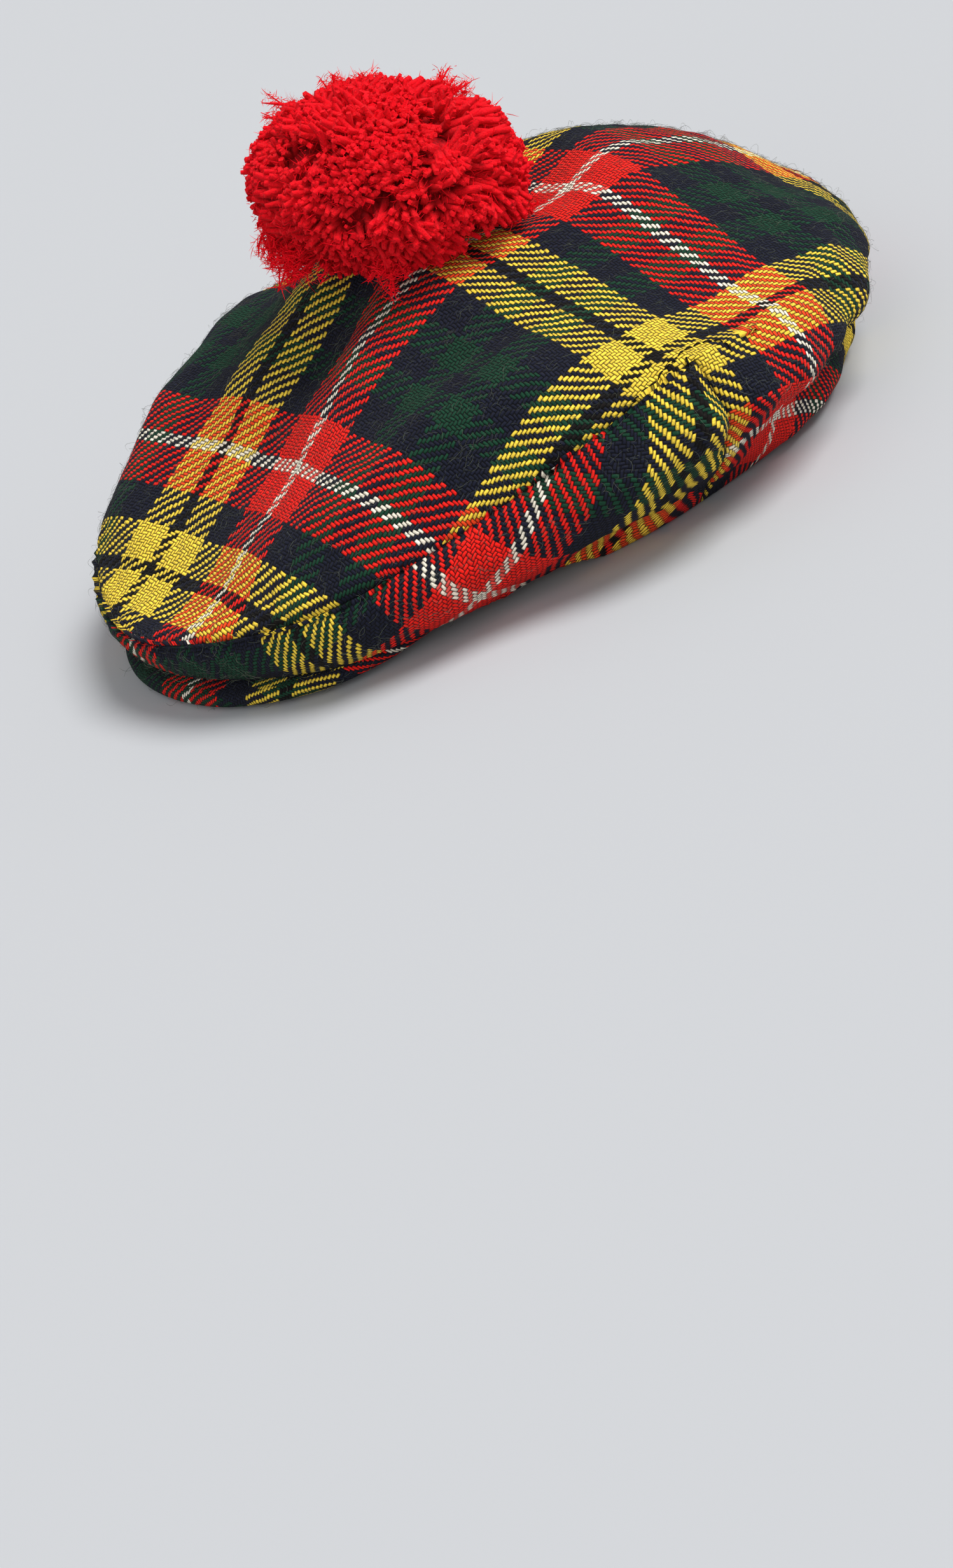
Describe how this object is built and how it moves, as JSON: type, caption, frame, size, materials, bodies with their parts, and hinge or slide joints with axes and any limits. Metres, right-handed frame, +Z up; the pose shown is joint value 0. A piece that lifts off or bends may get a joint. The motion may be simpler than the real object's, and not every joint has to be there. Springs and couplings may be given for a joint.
{
  "type": "tartan cap",
  "caption": "A flat cap of red, green, navy and yellow tartan wool, with a soft crown rolling over the back, a side band, a short cloth-covered peak and a round red yarn pompom on top.",
  "frame": {"origin": "On the surface that the cap rests on, under the middle of its length and width.", "axes": "+Z up out of the crown, -Y towards the peak, +X towards the wearer's left."},
  "size_m": [0.2352, 0.264, 0.1272],
  "materials": {
    "tartan_wool": "matte",
    "peak_wool": "matte",
    "red_yarn": "matte"
  },
  "bodies": {
    "root": {"crown_top": "tartan_wool", "crown_side": "tartan_wool", "peak": "peak_wool", "pompom": "red_yarn"}
  },
  "joints": []
}
